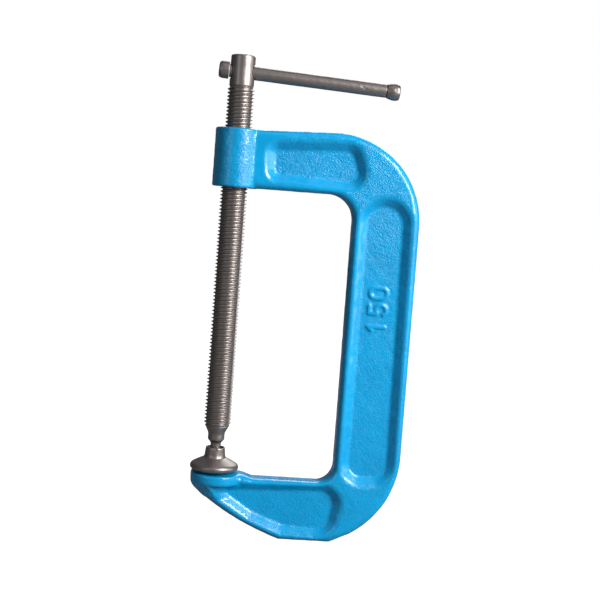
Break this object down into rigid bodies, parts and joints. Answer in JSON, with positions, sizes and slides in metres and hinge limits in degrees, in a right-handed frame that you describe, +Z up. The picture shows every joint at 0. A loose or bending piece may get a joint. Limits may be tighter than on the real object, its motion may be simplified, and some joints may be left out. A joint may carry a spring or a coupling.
{
  "type": "c clamp",
  "caption": "C clamp with a recessed cast frame, a two-start screw, a tilting swivel pad and a sliding tommy bar.",
  "frame": {"origin": "centre of the anvil face, on the screw's axis", "axes": "+Z up the screw's axis, out of the anvil face; +X from the screw towards the spine; +Y through the frame's thickness, away from the viewer of the side shown with the screw on the left"},
  "size_m": [0.1351, 0.033, 0.3067],
  "materials": {
    "frame_enamel": "gloss enamel over a sand-cast surface",
    "screw_steel": "dark phosphated, oiled",
    "ring_steel": "dark phosphated, oiled",
    "pad_steel": "dark phosphated, oiled",
    "bar_steel": "dark phosphated, oiled"
  },
  "bodies": {
    "frame": {"frame": "frame_enamel"},
    "ring_carrier": {"retaining_ring": "ring_steel"},
    "screw": {"screw": "screw_steel"},
    "pad": {"swivel_pad": "pad_steel"},
    "bar": {"tommy_bar": "bar_steel", "bar_knob_left": "bar_steel", "bar_knob_right": "bar_steel"}
  },
  "joints": [
    {"name": "screw_feed", "type": "slide", "parent": "frame", "child": "ring_carrier", "axis": [0, 0, 1], "range_m": [0, 0.1513]},
    {"name": "screw_turn", "type": "hinge", "parent": "ring_carrier", "child": "screw", "pos_m": [0, 0, 0], "axis": [0, 0, 1], "range_deg": [0, 11790]},
    {"name": "pad_tilt", "type": "hinge", "parent": "ring_carrier", "child": "pad", "pos_m": [0, 0, 0.0082], "axis": [0, 1, 0], "range_deg": [-4, 4]},
    {"name": "bar_slide", "type": "slide", "parent": "screw", "child": "bar", "axis": [0.9987, 0, -0.0506], "range_m": [-0.0837, 0]}
  ],
  "couplings": [
    {"joint": "screw_feed", "follows": "screw_turn", "m_per_rad": 0.00073498}
  ]
}
